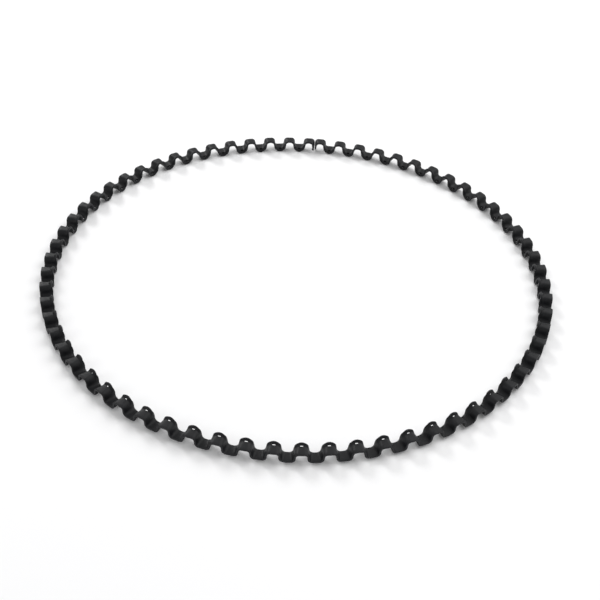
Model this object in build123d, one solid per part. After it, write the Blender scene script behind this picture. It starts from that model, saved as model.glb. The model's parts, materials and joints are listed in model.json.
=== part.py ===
"""Expander-spacer of a three-piece piston oil ring.

One strip of spring steel, formed into a wave and bent edgewise into a split ring.
The wave runs up and down along the ring's axis, so the strip makes flat-topped crests
and flat-bottomed troughs. The flat pads near the outer edge carry the two thin oil
rails. At the inner edge every crest and trough is turned outward into a rounded ear,
which holds the rail and presses it against the cylinder wall. A small slot at the ear's
root lets oil through.

Origin: centre of the ring, halfway between the upper and lower pads. +Z is the ring's
axis. The split is on +Y. All lengths are in millimetres.

The strip is one piece. It is written as two half rings that meet at the middle of the
crest opposite the split, because the strip bends there when the split is opened.
"""
import os
from math import cos, degrees, pi, radians, sin, tan

from build123d import *

# ---- driving dimensions ----
CREST_COUNT = 67
MEAN_RADIUS = 41.5
STRIP_WIDTH = 2.15          # radial width of the strip
THICKNESS = 0.33            # sheet thickness
PAD_TO_PAD = 1.71           # over the upper and lower rail pads
EAR_RISE = 0.40             # how far an ear stands above its pad
EAR_LENGTH = 0.55           # radial length of the turned-up ear
SLOT_LENGTH = 0.32          # oil slot at the ear's root, along the ring
SLOT_WIDTH = 0.20           # and across it
CREST_SHARE = 0.475         # part of each pitch that the crest takes, leg to leg; the trough has the rest

PAD_CORNER = 0.52           # bend radius between pad and leg, at mid-thickness
PAD_LEG_LEAN = radians(5.5)  # leg's angle from the ring's axis, under the pads
EAR_CORNER = 0.70           # the same bend at the inner edge, where the ear is a dome
EAR_LEG_LEAN = radians(13)

END_CLEARANCE = 0.02        # between the two butting ends, at the outer edge
END_SKEW = radians(2.5)     # how far each end's leg turns from the other, towards the inner edge
LONG_END_DEPTH = 0.72       # how far below mid-height the left end's leg reaches
SHORT_END_DEPTH = 0.42      # and the right end's leg

# ---- sizes that follow ----
OUTER_RADIUS = MEAN_RADIUS + STRIP_WIDTH / 2
INNER_RADIUS = MEAN_RADIUS - STRIP_WIDTH / 2
EAR_BASE_RADIUS = INNER_RADIUS + EAR_LENGTH
PAD_AMPLITUDE = (PAD_TO_PAD - THICKNESS) / 2
EAR_AMPLITUDE = PAD_AMPLITUDE + EAR_RISE
HALF_RING_PITCHES = (CREST_COUNT - 1) // 2
PITCH_ANGLE = (2 * pi - (THICKNESS + END_CLEARANCE) / MEAN_RADIUS) / (CREST_COUNT - 1 + CREST_SHARE)
CREST_TO_LEG = CREST_SHARE / 2 * PITCH_ANGLE
LEG_TO_TROUGH = PITCH_ANGLE / 2 - CREST_TO_LEG
MIDDLE_CREST_DEGREES = -90

TRIM_MARGIN = 0.2           # stock left outside the trimming wedge
ARCH_REACH = OUTER_RADIUS * tan(LEG_TO_TROUGH) + TRIM_MARGIN


def bend(centre, radius, turn, side):
    """Start, middle and end point of a bend that starts straight above or below its centre."""
    angles = (0, turn / 2, turn)
    return [(centre[0] + side * radius * sin(a), centre[1] + side * radius * cos(a)) for a in angles]


def crest_bend(amplitude, corner, lean, offset):
    """The bend from crest pad to leg, offset from mid-thickness; the leg crosses mid-height at 0."""
    leg_top = amplitude - corner * (1 - sin(lean))
    centre = (-(corner * cos(lean) + leg_top * tan(lean)), amplitude - corner)
    return bend(centre, corner + offset, pi / 2 - lean, 1)


def section_plane(radius):
    """Plane across the strip: its x runs round the ring, its y up the ring's axis."""
    return Plane(origin=(radius, 0, 0), x_dir=(0, 1, 0), z_dir=(1, 0, 0))


def opposite(points):
    """The same points turned half a turn about the middle of the leg."""
    return [(-x, -y) for x, y in points]


def wave_section(radius, amplitude, corner, lean):
    """Half a wave, from crest pad through the leg to trough pad, with the sheet's thickness."""
    half = THICKNESS / 2
    crest_top = crest_bend(amplitude, corner, lean, half)
    crest_under = crest_bend(amplitude, corner, lean, -half)
    trough_top = opposite(crest_under)[::-1]
    trough_under = opposite(crest_top)
    outline = [
        Line((-ARCH_REACH, amplitude + half), crest_top[0]),
        ThreePointArc(*crest_top),
        Line(crest_top[2], trough_top[0]),
        ThreePointArc(*trough_top),
        Line(trough_top[2], (ARCH_REACH, half - amplitude)),
        Line((ARCH_REACH, half - amplitude), (ARCH_REACH, -half - amplitude)),
        Line((ARCH_REACH, -half - amplitude), trough_under[0]),
        ThreePointArc(*trough_under),
        Line(trough_under[2], crest_under[2]),
        ThreePointArc(*crest_under[::-1]),
        Line(crest_under[0], (-ARCH_REACH, amplitude - half)),
        Line((-ARCH_REACH, amplitude - half), (-ARCH_REACH, amplitude + half)),
    ]
    return section_plane(radius) * make_face(Wire(outline).edges())


def end_section(radius, amplitude, corner, lean, depth):
    """The strip's last half wave: its leg is upright below mid-height and cut off square at a depth."""
    half = THICKNESS / 2
    leg = (radius - OUTER_RADIUS) * tan(END_SKEW)
    crest_top = [(leg + x, y) for x, y in crest_bend(amplitude, corner, lean, half)]
    crest_under = [(leg + x, y) for x, y in crest_bend(amplitude, corner, lean, -half)]
    outline = [
        Line((-ARCH_REACH, amplitude + half), crest_top[0]),
        ThreePointArc(*crest_top),
        Line(crest_top[2], (leg + half, 0)),
        Line((leg + half, 0), (leg + half, -depth)),
        Line((leg + half, -depth), (leg - half, -depth)),
        Line((leg - half, -depth), (leg - half, 0)),
        Line((leg - half, 0), crest_under[2]),
        ThreePointArc(*crest_under[::-1]),
        Line(crest_under[0], (-ARCH_REACH, amplitude - half)),
        Line((-ARCH_REACH, amplitude - half), (-ARCH_REACH, amplitude + half)),
    ]
    return section_plane(radius) * make_face(Wire(outline).edges())


def ear_slot(angle):
    """Cutter for the slot at an ear's root, at an angle from the leg."""
    height = 2 * (EAR_AMPLITUDE + THICKNESS)
    cutter = extrude(SlotOverall(SLOT_LENGTH, SLOT_WIDTH, rotation=90), height)
    return Rot(0, 0, degrees(angle)) * Pos(EAR_BASE_RADIUS, 0, -height / 2) * cutter


def trimming_wedge():
    """Sector of the ring's annulus that holds half a wave, from crest centre to trough centre."""
    height = 2 * (EAR_AMPLITUDE + THICKNESS)
    reach = OUTER_RADIUS * 2
    triangle = Polygon(
        (0, 0),
        (reach * cos(CREST_TO_LEG), -reach * sin(CREST_TO_LEG)),
        (reach * cos(LEG_TO_TROUGH), reach * sin(LEG_TO_TROUGH)),
        align=None,
    )
    annulus = Circle(OUTER_RADIUS) - Circle(INNER_RADIUS)
    return Pos(0, 0, -height / 2) * extrude(annulus & triangle, height)


def half_wave(section_at, skew=0):
    """Extrude the pads, loft the ear, trim both to the ring's annulus and cut the half slots."""
    inner_stock = INNER_RADIUS - TRIM_MARGIN
    stock_amplitude = PAD_AMPLITUDE + EAR_RISE * (EAR_BASE_RADIUS - inner_stock) / EAR_LENGTH
    pad_length = (OUTER_RADIUS + TRIM_MARGIN - EAR_BASE_RADIUS) / cos(skew)
    pad_face = section_at(EAR_BASE_RADIUS, PAD_AMPLITUDE, PAD_CORNER, PAD_LEG_LEAN)
    ear_face = section_at(inner_stock, stock_amplitude, EAR_CORNER, EAR_LEG_LEAN)
    pads = extrude(pad_face, pad_length, dir=(1, tan(skew), 0))
    ears = loft([ear_face, pad_face], ruled=True)
    trimmed = (pads + ears) & trimming_wedge()
    return trimmed - ear_slot(-CREST_TO_LEG) - ear_slot(LEG_TO_TROUGH)


def end_half_wave(depth):
    """Half wave that ends in a butting leg of the given depth."""
    def section_at(radius, amplitude, corner, lean):
        return end_section(radius, amplitude, corner, lean, depth)
    return half_wave(section_at, END_SKEW)


def turned(shape, angle):
    """The shape turned about the ring's axis, by an angle in radians from the middle crest."""
    return Rot(0, 0, MIDDLE_CREST_DEGREES + degrees(angle)) * shape


def half_ring(end_depth):
    """The half on +X: 33 whole waves from the middle crest, then the butting end."""
    falling = half_wave(wave_section)
    rising = mirror(falling, about=Plane.XZ)
    pieces = []
    for pitch in range(HALF_RING_PITCHES):
        pieces.append(turned(falling, pitch * PITCH_ANGLE + CREST_TO_LEG))
        pieces.append(turned(rising, (pitch + 1) * PITCH_ANGLE - CREST_TO_LEG))
    pieces.append(turned(end_half_wave(end_depth), HALF_RING_PITCHES * PITCH_ANGLE + CREST_TO_LEG))
    return pieces[0].fuse(*pieces[1:]).clean()


parts = {
    "right_half_ring": half_ring(SHORT_END_DEPTH),
    "left_half_ring": mirror(half_ring(LONG_END_DEPTH), about=Plane.YZ),
}

os.makedirs("parts", exist_ok=True)
for name, shape in parts.items():
    export_step(shape, f"parts/{name}.step")
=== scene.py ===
"""Oil ring expander: a dark nitrided spring strip, waved and bent into a split ring."""
import json
from math import cos, pi, radians, sin, tan

import bmesh
import bpy
import numpy as np
from mathutils import Matrix, Vector


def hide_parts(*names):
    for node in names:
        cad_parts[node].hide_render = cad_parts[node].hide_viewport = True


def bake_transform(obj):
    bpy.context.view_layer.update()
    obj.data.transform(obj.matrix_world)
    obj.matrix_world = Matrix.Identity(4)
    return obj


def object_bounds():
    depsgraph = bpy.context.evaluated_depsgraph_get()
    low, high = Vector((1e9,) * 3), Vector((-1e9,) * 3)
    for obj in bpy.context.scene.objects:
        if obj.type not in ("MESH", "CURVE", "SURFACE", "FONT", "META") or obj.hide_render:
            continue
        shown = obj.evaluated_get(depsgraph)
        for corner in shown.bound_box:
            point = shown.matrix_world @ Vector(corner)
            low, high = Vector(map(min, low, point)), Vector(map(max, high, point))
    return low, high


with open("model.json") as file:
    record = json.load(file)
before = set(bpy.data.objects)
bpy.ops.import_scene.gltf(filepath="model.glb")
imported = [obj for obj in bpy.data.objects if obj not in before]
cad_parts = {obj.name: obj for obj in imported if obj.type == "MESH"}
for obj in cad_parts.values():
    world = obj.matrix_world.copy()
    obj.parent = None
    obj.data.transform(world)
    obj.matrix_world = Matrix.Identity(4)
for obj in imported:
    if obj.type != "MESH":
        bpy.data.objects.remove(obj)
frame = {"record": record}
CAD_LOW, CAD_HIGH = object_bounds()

# ---- sizes of the strip, in metres ----
MM = 0.001
STRIP_WIDTH = 2.15 * MM
THICKNESS = 0.33 * MM
EDGE_ROUND = 0.08 * MM          # the blanked edges are tumbled
PAD_CORNER = 0.52 * MM          # bend between pad and leg at the outer edge, at mid-thickness
PAD_LEG_LEAN = radians(5.5)
CREST_CORNER = 0.78 * MM        # the same bend from the ear's root inwards, over a crest
TROUGH_CORNER = 0.92 * MM       # and under a trough, which is a little wider
EAR_LEG_LEAN = radians(11)
ROUNDING_POWER = 1.6            # how late across the pad the bends grow from square to round
LEG_FULLNESS_POWER = 2          # how fast the strip's reach changes between a leg and a pad
EAR_TILT = radians(54)          # how steeply the ear turns up out of the pad
EAR_FOLD = 0.34 * MM            # bend radius at the ear's root, at mid-thickness
CREST_COUNT = 67
CREST_SHARE = 0.475             # part of each pitch that the crest takes, leg to leg
END_CLEARANCE = 0.02 * MM       # between the two butting ends, at the outer edge
END_SKEW = radians(2.5)         # how far each end's leg turns from the other, towards the inner edge
LONG_END_DEPTH = 0.72 * MM
SHORT_END_DEPTH = 0.42 * MM

# ---- places taken from the frame ----
MOUNTS = {m["name"]: m for m in frame["record"]["mounts"]}
PAD_TOP = MOUNTS["upper_rail_seat"]["pos_m"][2]
EAR_TOP = CAD_HIGH.z
FLOOR_LEVEL = CAD_LOW.z
OUTER_RADIUS = CAD_HIGH.x
INNER_RADIUS = OUTER_RADIUS - STRIP_WIDTH
MEAN_RADIUS = (OUTER_RADIUS + INNER_RADIUS) / 2

HALF_RING_PITCHES = (CREST_COUNT - 1) // 2
PITCH_ANGLE = (2 * pi - (THICKNESS + END_CLEARANCE) / MEAN_RADIUS) / (CREST_COUNT - 1 + CREST_SHARE)
CREST_TO_LEG = CREST_SHARE / 2 * PITCH_ANGLE
LEG_TO_TROUGH = PITCH_ANGLE / 2 - CREST_TO_LEG
MIDDLE_CREST = -pi / 2
PAD_AMPLITUDE = PAD_TOP - THICKNESS / 2
EAR_LIFT = EAR_TOP - PAD_AMPLITUDE - THICKNESS / 2 * cos(EAR_TILT)
EAR_STRAIGHT = (EAR_LIFT - EAR_FOLD * (1 - cos(EAR_TILT))) / sin(EAR_TILT)
EAR_DEPTH = EAR_FOLD * sin(EAR_TILT) + EAR_STRAIGHT * cos(EAR_TILT)
EAR_PATH = EAR_FOLD * EAR_TILT + EAR_STRAIGHT
PAD_WIDTH = STRIP_WIDTH - EAR_DEPTH - THICKNESS / 2 * sin(EAR_TILT)
SECTION_PATH = PAD_WIDTH + EAR_PATH

# ---- mesh density ----
FLAT_STEPS = 1                  # from a crest's centre to its bend
BEND_STEPS = 10
LEG_STEPS = 2                   # from the bend to mid-height
END_LEG_STEPS = 4               # from mid-height to a butting end
PAD_PLACES = (0.4, 0.8)         # points across the pad, as parts of its width
FOLD_STEPS = 5                  # round the fold at the ear's root
ROUND_STEPS = 2                 # round each of the four long edges
NUDGE = 0.002 * MM              # step for measuring the strip's slope
ROUND_OFF = 1e-9                # below any real length
SHARP_ANGLE = radians(50)

# ---- the oil slot through each ear's root, in steps of the mesh ----
SLOT_ROWS = FLAT_STEPS + 1      # from the crest's centre to either end of the slot
SLOT_FOLD_STEPS = (1, 4)        # where the slot starts and ends in the fold

# ---- surface of the strip and the floor ----
DARK_STEEL = (0.0048, 0.0051, 0.0061, 1)
BLOTCHED_STEEL = (0.0076, 0.0080, 0.0094, 1)
GRAIN_COLOUR = (0.0130, 0.0136, 0.0154, 1)
# painted highlight: a paler colour on the long edges, standing in for their rims catching the light
EDGE_HIGHLIGHT_COLOUR = (0.026, 0.0268, 0.0295, 1)
GRAIN_SHARE = 0.4               # how much of the grain's colour shows, at most
EDGE_HIGHLIGHT_SHARE = 0.5                # and of the painted edge highlight colour, on the long edges
GRAIN_STRETCH = (0.08, 1, 1)    # drawn out along the strip by the rolling
NOISE_LOW, NOISE_HIGH = 0.35, 0.65   # most of a noise texture's values lie between these
ROUGHNESS_LOW, ROUGHNESS_HIGH = 0.42, 0.56
SURFACE_IOR = 1.29
FLOOR_COLOUR = (0.90, 0.90, 0.905, 1)
FLOOR_ROUGHNESS = 0.6


def across_path(along):
    """Radial travel and lift of the mid-surface, at a distance along the section from the outer edge."""
    fold = np.clip((along - PAD_WIDTH) / EAR_FOLD, 0, EAR_TILT)
    straight = np.maximum(along - PAD_WIDTH - EAR_FOLD * EAR_TILT, 0)
    travel = np.minimum(along, PAD_WIDTH) + EAR_FOLD * np.sin(fold) + straight * cos(EAR_TILT)
    lift = EAR_FOLD * (1 - np.cos(fold)) + straight * sin(EAR_TILT)
    return travel, lift


def quarter_wave(amplitude, corner, lean, reach):
    """Crest centre to the middle of the leg: distance from the leg, and height, of the mid-surface.

    The reach is the distance from the leg to the crest's centre. A bend stops growing when
    it takes the whole height from mid-height to the pad.
    """
    corner = min(corner, amplitude / (1 - sin(lean)))
    leg_top = amplitude - corner * (1 - sin(lean))
    flat_end = corner * cos(lean) + leg_top * tan(lean)
    turn = np.linspace(0, pi / 2 - lean, BEND_STEPS + 1)
    flat = np.linspace(-reach, -flat_end, FLAT_STEPS + 1)[:-1]
    bend_s = -flat_end + corner * np.sin(turn)
    bend_z = amplitude - corner + corner * np.cos(turn)
    leg = np.linspace(1, 0, LEG_STEPS + 1)[1:]
    s = np.concatenate([flat, bend_s, bend_s[-1] * leg])
    z = np.concatenate([np.full(FLAT_STEPS, amplitude), bend_z, bend_z[-1] * leg])
    return s, z


def falling_wave(amplitude, share, lean, radius):
    """Crest centre to trough centre, at a radius; share is how far the bends have grown round."""
    corners = [PAD_CORNER + (corner - PAD_CORNER) * share for corner in (CREST_CORNER, TROUGH_CORNER)]
    crest_s, crest_z = quarter_wave(amplitude, corners[0], lean, radius * CREST_TO_LEG)
    trough_s, trough_z = quarter_wave(amplitude, corners[1], lean, radius * LEG_TO_TROUGH)
    return np.concatenate([crest_s, -trough_s[-2::-1]]), np.concatenate([crest_z, -trough_z[-2::-1]])


def end_wave(amplitude, share, lean, depth, radius):
    """Crest centre to the strip's cut end, down a leg that is upright below mid-height."""
    leg = (radius - OUTER_RADIUS) * tan(END_SKEW)
    corner = PAD_CORNER + (CREST_CORNER - PAD_CORNER) * share
    s, z = quarter_wave(amplitude, corner, lean, radius * CREST_TO_LEG + leg)
    down = np.linspace(0, -depth, END_LEG_STEPS + 1)[1:]
    return np.concatenate([s, np.zeros(END_LEG_STEPS)]) + leg, np.concatenate([z, down])


def strip_line(along):
    """The mid-surface's points along the whole strip, at one distance along its section."""
    travel, lift = across_path(along)
    ear_radius = OUTER_RADIUS - travel
    leg_radius = OUTER_RADIUS - STRIP_WIDTH * along / SECTION_PATH
    share = np.clip(along / PAD_WIDTH, 0, 1) ** ROUNDING_POWER
    lean = PAD_LEG_LEAN + (EAR_LEG_LEAN - PAD_LEG_LEAN) * share
    amplitude = PAD_AMPLITUDE + lift
    wave_s, wave_z = falling_wave(amplitude, share, lean, ear_radius)
    first_s, first_z = end_wave(amplitude, share, lean, LONG_END_DEPTH, ear_radius)
    last_s, last_z = end_wave(amplitude, share, lean, SHORT_END_DEPTH, ear_radius)

    last_crest = MIDDLE_CREST + HALF_RING_PITCHES * PITCH_ANGLE
    first_crest = MIDDLE_CREST - HALF_RING_PITCHES * PITCH_ANGLE
    pieces = [(np.full(len(first_s), first_crest - CREST_TO_LEG), -first_s[::-1], first_z[::-1])]
    for pitch in range(2 * HALF_RING_PITCHES):
        crest = first_crest + pitch * PITCH_ANGLE
        falling_leg, rising_leg = crest + CREST_TO_LEG, crest + PITCH_ANGLE - CREST_TO_LEG
        count = len(wave_s) - 1
        pieces.append((np.full(count, falling_leg), wave_s[1:], wave_z[1:]))
        pieces.append((np.full(count, rising_leg), -wave_s[::-1][1:], wave_z[::-1][1:]))
    pieces.append((np.full(len(last_s) - 1, last_crest + CREST_TO_LEG), last_s[1:], last_z[1:]))
    base, s, z = (np.concatenate(column) for column in zip(*pieces))

    # the ear's fold takes up some of the strip's width over a pad, but none of it at mid-leg
    fullness = np.clip(np.abs(z) / PAD_AMPLITUDE, 0, 1) ** LEG_FULLNESS_POWER
    radius = ear_radius * fullness + leg_radius * (1 - fullness)
    angle = base + s / ear_radius
    return np.stack([radius * np.cos(angle), radius * np.sin(angle), z], axis=1)


def section_outline():
    """Points round the strip's cross-section: distance from the outer edge, offset from the middle."""
    half = THICKNESS / 2
    pad = np.array(PAD_PLACES) * PAD_WIDTH
    fold = PAD_WIDTH + EAR_FOLD * EAR_TILT * np.linspace(0, 1, FOLD_STEPS + 1)
    inner = SECTION_PATH - EDGE_ROUND
    side = [EDGE_ROUND, *pad, *fold, inner]
    turn = np.linspace(0, pi / 2, ROUND_STEPS + 1)[1:]
    rounding = [(inner + EDGE_ROUND * sin(a), half - EDGE_ROUND * (1 - cos(a))) for a in turn]
    top = [(a, half) for a in side] + rounding
    bottom = [(a, -b) for a, b in top[::-1]]
    outer = [(EDGE_ROUND * (1 - sin(a)), -(half - EDGE_ROUND * (1 - cos(a)))) for a in turn]
    return top + bottom + outer + [(a, -b) for a, b in outer[::-1]]


def strip_surface():
    """Vertex grid: one row per sample along the strip, one column per point round its section."""
    columns = []
    for along, offset in section_outline():
        line = strip_line(along)
        run = np.gradient(line, axis=0)
        across = strip_line(along + NUDGE) - strip_line(along - NUDGE)
        normal = np.cross(across, run)
        normal /= np.linalg.norm(normal, axis=1)[:, None]
        columns.append(line + normal * offset)
    return np.stack(columns, axis=1)


def wave_centres():
    """The rows at the middle of each crest and trough, in turn."""
    first = FLAT_STEPS + BEND_STEPS + LEG_STEPS + END_LEG_STEPS
    rows_per_half_wave = 2 * (FLAT_STEPS + BEND_STEPS + LEG_STEPS)
    return [first + half_wave * rows_per_half_wave for half_wave in range(4 * HALF_RING_PITCHES + 1)]


def slot_walls(vertex, centre, first, last, under):
    """Quads of one slot's walls, from the strip's top skin to the points opposite on its underside."""
    start, end = centre - SLOT_ROWS, centre + SLOT_ROWS
    walls = []
    for row in range(start, end):
        walls.append((vertex(row + 1, first), vertex(row, first),
                      vertex(row, under - first), vertex(row + 1, under - first)))
        walls.append((vertex(row, last), vertex(row + 1, last),
                      vertex(row + 1, under - last), vertex(row, under - last)))
    for column in range(first, last):
        walls.append((vertex(start, column), vertex(start, column + 1),
                      vertex(start, under - column - 1), vertex(start, under - column)))
        walls.append((vertex(end, column + 1), vertex(end, column),
                      vertex(end, under - column), vertex(end, under - column - 1)))
    return walls


def strip_faces(rows, columns):
    """Faces of the strip's skin, with its two cut ends and the slots' walls.

    The columns follow section_outline: top points from the outer edge in, then the same
    points underneath on the way back, so column c on top is opposite column under - c.
    """
    def vertex(row, column):
        return row * columns + column % columns

    fold_start = 1 + len(PAD_PLACES)
    top_count = fold_start + (FOLD_STEPS + 1) + 1 + ROUND_STEPS
    under = 2 * top_count - 1
    first, last = (fold_start + step for step in SLOT_FOLD_STEPS)
    slot_columns = set(range(first, last)) | set(range(under - last, under - first))
    centres = wave_centres()
    slot_rows = {row for centre in centres for row in range(centre - SLOT_ROWS, centre + SLOT_ROWS)}
    faces = []
    for row in range(rows - 1):
        for column in range(columns):
            if row in slot_rows and column in slot_columns:
                continue
            faces.append((vertex(row, column), vertex(row, column + 1),
                          vertex(row + 1, column + 1), vertex(row + 1, column)))
    faces.append(tuple(range(columns))[::-1])
    faces.append(tuple(vertex(rows - 1, column) for column in range(columns)))
    for centre in centres:
        faces.extend(slot_walls(vertex, centre, first, last, under))
    return faces


def remove_loose_points(mesh):
    """Drop the points that lay where the slots are."""
    work = bmesh.new()
    work.from_mesh(mesh)
    bmesh.ops.delete(work, geom=[point for point in work.verts if not point.link_faces], context="VERTS")
    work.to_mesh(mesh)
    work.free()


def add_attribute(mesh, name, kind, field, values):
    """A named value at each point of the mesh, for the material to read."""
    attribute = mesh.attributes.new(name, kind, "POINT")
    attribute.data.foreach_set(field, values.reshape(-1).astype(np.float32))


def strip_mesh():
    """The whole strip as one closed mesh, with its place along and across the strip and its edges marked
    for a painted highlight.
    """
    grid = strip_surface()
    rows, columns = grid.shape[:2]
    mesh = bpy.data.meshes.new("expander_strip")
    mesh.from_pydata(grid.reshape(-1, 3).tolist(), [], strip_faces(rows, columns))
    mesh.validate()
    mesh.shade_smooth()
    mesh.set_sharp_from_angle(angle=SHARP_ANGLE)
    length = np.concatenate([[0], np.cumsum(np.linalg.norm(np.diff(grid[:, 0], axis=0), axis=1))])
    outline = section_outline()
    along = np.array([a for a, _ in outline])
    # points on the strip's edges and rounded rims, which get the painted highlight
    edge_highlight = np.array([1.0 if abs(b) < THICKNESS / 2 - ROUND_OFF else 0.0 for _, b in outline])
    place = np.stack(np.broadcast_arrays(length[:, None], along[None, :], 0.0), axis=2)
    add_attribute(mesh, "strip_place", "FLOAT_VECTOR", "vector", place)
    add_attribute(mesh, "edge_wear", "FLOAT", "value", np.tile(edge_highlight, rows))
    remove_loose_points(mesh)
    return mesh


def link(name, data):
    """A new object in the scene, from a mesh, light or camera."""
    made = bpy.data.objects.new(name, data)
    bpy.context.scene.collection.objects.link(made)
    return made


# ---- materials ----
def new_material(name):
    """A material with nodes, and its shader."""
    material = bpy.data.materials.new(name)
    material.use_nodes = True
    return material, material.node_tree.nodes["Principled BSDF"]


def nitrided_steel():
    """Dark satin steel, a little blotched, with a fine grain along the strip and a painted highlight on
    the long edges.
    """
    material, shader = new_material("nitrided_steel")
    nodes, links = material.node_tree.nodes, material.node_tree.links
    place = nodes.new("ShaderNodeAttribute")
    place.attribute_name = "strip_place"
    edge_highlight = nodes.new("ShaderNodeAttribute")
    edge_highlight.attribute_name = "edge_wear"
    body = nodes.new("ShaderNodeTexCoord")

    def noise(scale, detail, source, stretch=(1, 1, 1)):
        mapping = nodes.new("ShaderNodeMapping")
        mapping.inputs["Scale"].default_value = stretch
        texture = nodes.new("ShaderNodeTexNoise")
        texture.inputs["Scale"].default_value = scale
        texture.inputs["Detail"].default_value = detail
        links.new(source, mapping.inputs["Vector"])
        links.new(mapping.outputs["Vector"], texture.inputs["Vector"])
        return texture.outputs["Fac"]

    def ramp(source, low, high, from_value=NOISE_LOW, to_value=NOISE_HIGH):
        node = nodes.new("ShaderNodeMapRange")
        node.inputs["From Min"].default_value = from_value
        node.inputs["From Max"].default_value = to_value
        node.inputs["To Min"].default_value = low
        node.inputs["To Max"].default_value = high
        links.new(source, node.inputs["Value"])
        return node.outputs["Result"]

    def mix(factor, first, second):
        node = nodes.new("ShaderNodeMix")
        node.data_type = "RGBA"
        links.new(factor, node.inputs["Factor"])
        for socket, value in (("A", first), ("B", second)):
            target = next(i for i in node.inputs if i.name == socket and i.type == "RGBA")
            if isinstance(value, tuple):
                target.default_value = value
            else:
                links.new(value, target)
        return next(o for o in node.outputs if o.type == "RGBA")

    def bump(source, strength, distance):
        node = nodes.new("ShaderNodeBump")
        node.inputs["Strength"].default_value = strength
        node.inputs["Distance"].default_value = distance
        links.new(source, node.inputs["Height"])
        return node

    blotches = noise(scale=420, detail=4, source=body.outputs["Object"])
    grain = noise(scale=9000, detail=3, source=place.outputs["Vector"], stretch=GRAIN_STRETCH)
    speckle = noise(scale=16000, detail=2, source=body.outputs["Object"])
    dark = mix(ramp(blotches, 0, 1), DARK_STEEL, BLOTCHED_STEEL)
    grained = mix(ramp(grain, 0, GRAIN_SHARE), dark, GRAIN_COLOUR)
    # painted highlight: the long edges are mixed towards a paler colour, as if their rims caught the light
    edged = mix(ramp(edge_highlight.outputs["Fac"], 0, EDGE_HIGHLIGHT_SHARE, 0, 1), grained, EDGE_HIGHLIGHT_COLOUR)
    links.new(edged, shader.inputs["Base Color"])
    links.new(ramp(speckle, ROUGHNESS_LOW, ROUGHNESS_HIGH), shader.inputs["Roughness"])
    shader.inputs["IOR"].default_value = SURFACE_IOR
    coarse = bump(grain, strength=0.35, distance=0.006 * MM)
    fine = bump(speckle, strength=0.3, distance=0.005 * MM)
    links.new(coarse.outputs["Normal"], fine.inputs["Normal"])
    links.new(fine.outputs["Normal"], shader.inputs["Normal"])
    return material


def pale_floor():
    """The white table that the ring lies on."""
    material, shader = new_material("pale_floor")
    shader.inputs["Base Color"].default_value = FLOOR_COLOUR
    shader.inputs["Roughness"].default_value = FLOOR_ROUGHNESS
    return material


# ---- the object ----
strip = link("expander_strip", strip_mesh())
strip.data.materials.append(nitrided_steel())
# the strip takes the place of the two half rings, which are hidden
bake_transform(strip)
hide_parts("left_half_ring", "right_half_ring")

# ---- floor, light and camera ----
FLOOR_REACH = 3.0               # from the ring's centre to the floor's sides
FLOOR_CORNERS = [(x * FLOOR_REACH, y * FLOOR_REACH, 0) for x, y in ((-1, -1), (1, -1), (1, 1), (-1, 1))]
floor_mesh = bpy.data.meshes.new("floor")
floor_mesh.from_pydata(FLOOR_CORNERS, [], [(0, 1, 2, 3)])
floor = link("floor", floor_mesh)
floor.location.z = FLOOR_LEVEL
floor.data.materials.append(pale_floor())


def area_light(name, place, size, power):
    """A square softbox that faces the ring's centre, with its side in metres and its power in watts."""
    light = bpy.data.lights.new(name, "AREA")
    light.size = size
    light.energy = power
    made = link(name, light)
    made.location = place
    made.rotation_euler = (-Vector(place)).to_track_quat("-Z", "Y").to_euler()


area_light("key", place=(0.18, 0.12, 0.25), size=0.38, power=0.78)
area_light("back", place=(-0.30, 0.43, 0.33), size=0.20, power=1.3)
area_light("front", place=(-0.40, -0.30, 0.25), size=0.30, power=0.4)

WORLD_COLOUR = (1, 1, 1, 1)
WORLD_STRENGTH = 0.57
world = bpy.data.worlds.new("studio")
world.use_nodes = True
background = world.node_tree.nodes["Background"]
background.inputs["Color"].default_value = WORLD_COLOUR
background.inputs["Strength"].default_value = WORLD_STRENGTH
bpy.context.scene.world = world
bpy.context.scene.view_settings.view_transform = "Standard"

# the camera that fits the photo: it looks at the ring's centre, then turns by tilt, pan and roll
CAMERA_DISTANCE = 4.1883 * MEAN_RADIUS
CAMERA_ELEVATION = radians(37.435)
CAMERA_AZIMUTH = radians(2.923)      # the split is a little to the right of the far side
CAMERA_TILT = radians(1.666)
CAMERA_PAN = radians(0.213)
CAMERA_ROLL = radians(-2.884)
CAMERA_CLIP_START = 0.01
SENSOR_WIDTH = 36.0                  # in millimetres, as is the lens
CAMERA_LENS = SENSOR_WIDTH * 1.71157

camera_data = bpy.data.cameras.new("camera")
camera_data.sensor_width = SENSOR_WIDTH
camera_data.lens = CAMERA_LENS
camera_data.clip_start = CAMERA_CLIP_START
camera = link("camera", camera_data)
eye = Vector((0, -cos(CAMERA_ELEVATION), sin(CAMERA_ELEVATION))) * CAMERA_DISTANCE
forward = -eye.normalized()
right = Vector((1, 0, 0))
up = right.cross(forward)
level = Matrix((right, up, -forward))
aim = (Matrix.Rotation(CAMERA_ROLL, 3, "Z") @ Matrix.Rotation(CAMERA_PAN, 3, "Y")
       @ Matrix.Rotation(CAMERA_TILT, 3, "X"))
swing = Matrix.Rotation(CAMERA_AZIMUTH, 3, "Z")
camera.matrix_world = Matrix.Translation(swing @ eye) @ (swing @ (aim @ level).transposed()).to_4x4()
bpy.context.scene.camera = camera
